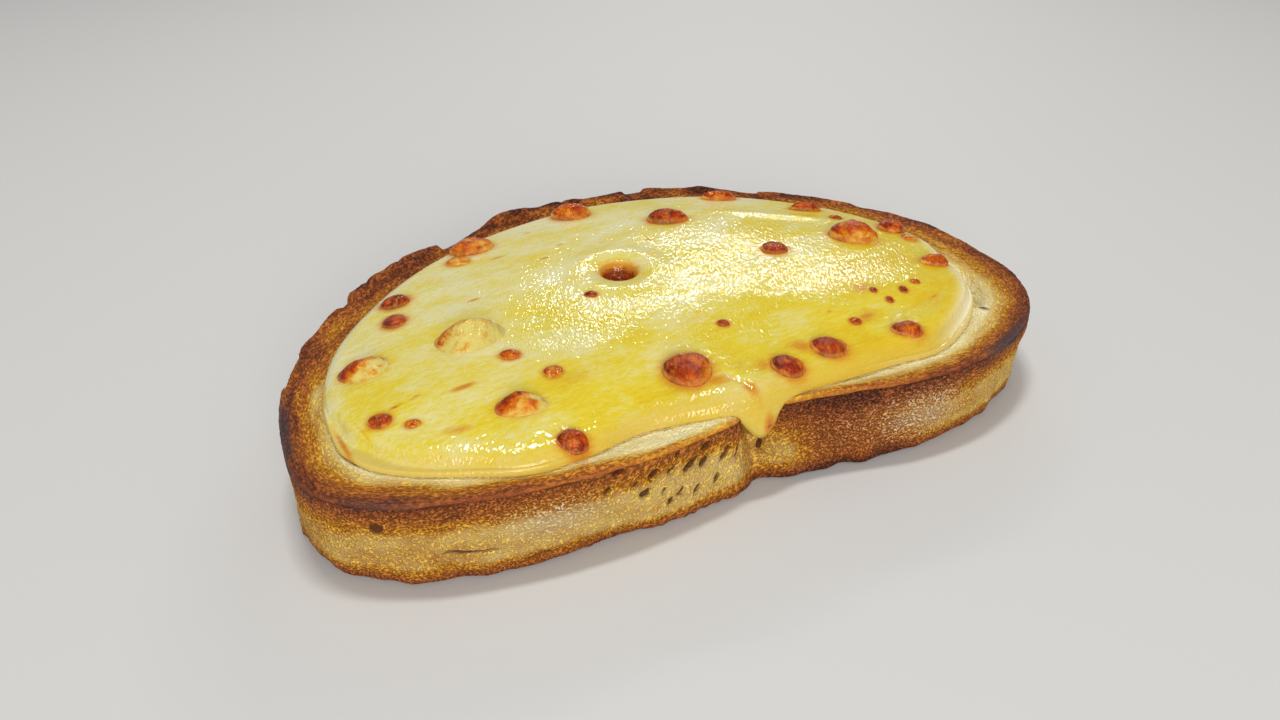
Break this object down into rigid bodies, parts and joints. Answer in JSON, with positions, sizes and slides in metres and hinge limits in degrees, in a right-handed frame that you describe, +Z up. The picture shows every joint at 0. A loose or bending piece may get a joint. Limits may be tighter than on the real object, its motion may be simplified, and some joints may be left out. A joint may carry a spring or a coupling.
{
  "type": "welsh rarebit",
  "caption": "Thick oval slice of toasted farmhouse bread with a waist on its flat side, spread with a set cheese sauce that has browned blisters and a drip at the waist.",
  "frame": {"origin": "middle of the footprint's bounding box, on the flat cut face that the slice rests on", "axes": "+X along the length of the slice, to the right when its flat notched side faces the viewer; +Y from that side to the domed side; +Z up through the cheese"},
  "size_m": [0.1614, 0.1031, 0.0259],
  "materials": {
    "toast": "dry toasted bread, golden crust with a dark brown edge",
    "cheese": "glossy set cheese sauce, yellow with browned blisters"
  },
  "bodies": {
    "root": {"toast_slice": "toast", "cheese_sauce": "cheese"}
  },
  "joints": []
}
